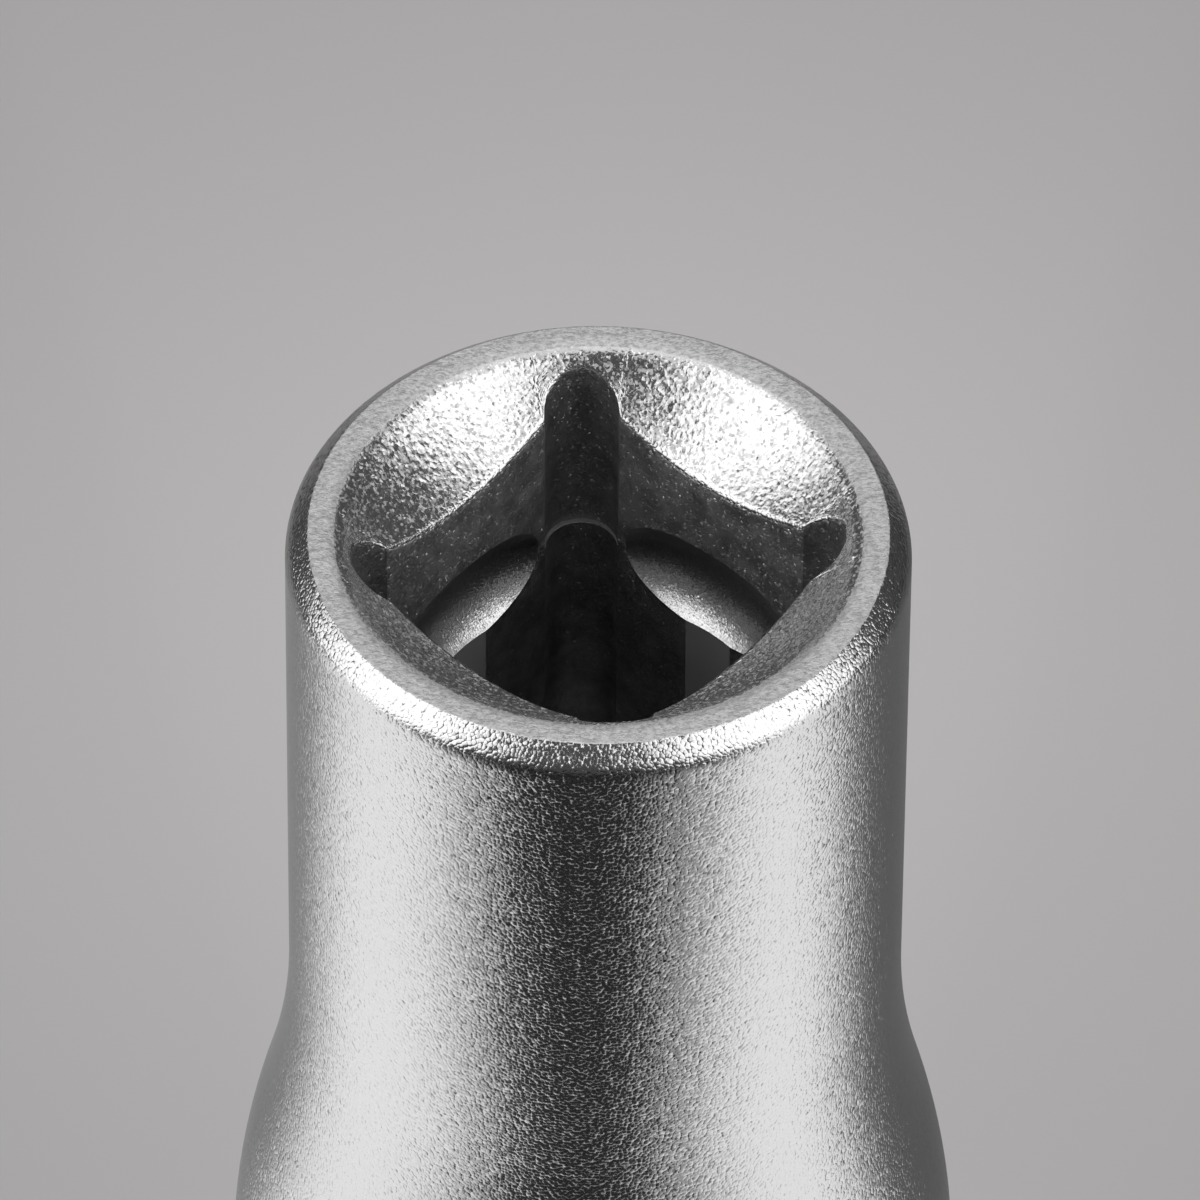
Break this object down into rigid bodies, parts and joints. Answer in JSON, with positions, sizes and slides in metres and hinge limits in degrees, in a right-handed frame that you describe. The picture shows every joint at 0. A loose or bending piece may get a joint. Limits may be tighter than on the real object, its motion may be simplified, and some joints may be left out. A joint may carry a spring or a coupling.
{
  "type": "deep socket",
  "caption": "Satin chrome deep socket for a ratchet: relieved square drive with a ball groove at one end, long hex socket with a sprung nut-holding magnet at the other.",
  "frame": {"origin": "centre of the hex end's face, on the socket's axis, where the socket stands", "axes": "+Z along the socket's axis towards the square drive, +X square to one pair of the drive square's flats and through two corners of the hex"},
  "size_m": [0.014, 0.014, 0.05],
  "materials": {
    "satin_chrome": "bead-blasted and chrome plated, satin",
    "ring_steel": "phosphated spring wire",
    "turned_steel": "turned, zinc plated",
    "nickel_plate": "bright nickel plate",
    "spring_steel": "drawn spring wire"
  },
  "bodies": {
    "socket": {"socket_body": "satin_chrome", "retaining_ring": "ring_steel", "magnet_spring": "spring_steel"},
    "nut_magnet": {"magnet_carrier": "turned_steel", "holding_magnet": "nickel_plate"}
  },
  "joints": [
    {"name": "magnet_slide", "type": "slide", "parent": "socket", "child": "nut_magnet", "axis": [0, 0, 1], "range_m": [0, 0.012], "stiffness_N_per_m": 190, "springref_m": -0.006, "deforming": ["magnet_spring"]}
  ]
}
